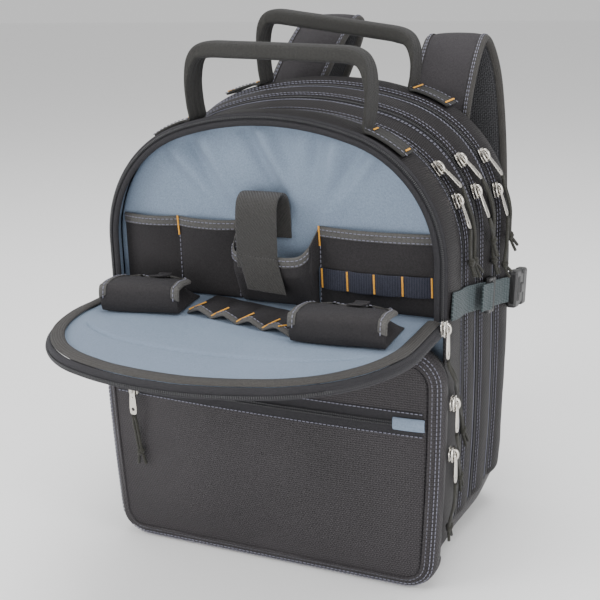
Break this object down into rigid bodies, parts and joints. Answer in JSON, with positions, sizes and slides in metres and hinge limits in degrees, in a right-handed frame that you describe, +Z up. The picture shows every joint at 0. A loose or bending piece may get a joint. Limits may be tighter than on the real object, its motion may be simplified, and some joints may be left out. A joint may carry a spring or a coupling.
{
  "type": "tool backpack",
  "caption": "Arched tool backpack with zipped bands, carry handles, padded shoulder straps and an open front whose cover folds down into a tool tray.",
  "frame": {"origin": "centre of the bag's footprint (open rim to back panel seam, between the sides), on the floor", "axes": "X to the right seen from the front, Y from the front to the back, Z up"},
  "size_m": [0.3802, 0.4807, 0.5047],
  "materials": {
    "binding": "nylon binding and zip tape",
    "black_cloth": "plain woven nylon, bound edges",
    "black_nylon": "woven ballistic nylon, coated",
    "cord": "braided cord",
    "grey_lining": "plain woven polyester",
    "grey_webbing": "ribbed nylon webbing",
    "navy_elastic": "elastic webbing",
    "nickel": "bright nickel plate",
    "padding": "padded nylon and mesh",
    "plastic": "moulded acetal",
    "webbing": "ribbed nylon webbing",
    "zip_tape": "zip tape with a nylon coil"
  },
  "bodies": {
    "root": {"band_front": "black_nylon", "band_middle_front": "black_nylon", "band_middle_rear": "black_nylon", "band_rear": "black_nylon", "zip_front": "zip_tape", "zip_middle": "zip_tape", "zip_rear": "zip_tape", "pocket_border": "black_nylon", "pocket_face": "black_nylon", "pocket_zip": "zip_tape", "slot_zip": "zip_tape", "base_panel": "black_nylon", "back_panel": "padding", "tool_wall": "grey_lining", "rim_zip": "zip_tape", "wall_pocket_left": "black_cloth", "wall_pocket_right": "black_cloth", "phone_pouch": "black_cloth", "phone_strap": "black_cloth", "loop_webbing": "navy_elastic", "tray_panel": "black_nylon", "tray_lining": "grey_lining", "tray_rim": "binding", "tray_pouch_left": "black_cloth", "tray_flap_left": "black_cloth", "tray_pouch_right": "black_cloth", "tray_flap_right": "black_cloth", "tray_loops": "black_cloth", "handle_front": "webbing", "handle_rear": "webbing", "shoulder_strap_left": "padding", "lower_strap_left": "webbing", "shoulder_strap_right": "padding", "lower_strap_right": "webbing", "side_webbing_right": "grey_webbing", "side_slide_right": "plastic", "side_buckle_right": "plastic", "side_webbing_left": "grey_webbing", "side_slide_left": "plastic", "side_buckle_left": "plastic", "slider_front_upper": "nickel", "slider_front_lower": "nickel", "slider_middle_upper": "nickel", "slider_middle_lower": "nickel", "slider_rear_upper": "nickel", "slider_rear_lower": "nickel", "slider_tray": "nickel", "slider_pocket_upper": "nickel", "slider_pocket_lower": "nickel", "slider_slot": "nickel", "pull_front_upper": "cord", "pull_front_lower": "cord", "pull_middle_upper": "cord", "pull_middle_lower": "cord", "pull_rear_upper": "cord", "pull_rear_lower": "cord", "pull_tray": "cord", "pull_pocket_upper": "cord", "pull_pocket_lower": "cord", "pull_slot": "cord"}
  },
  "joints": []
}
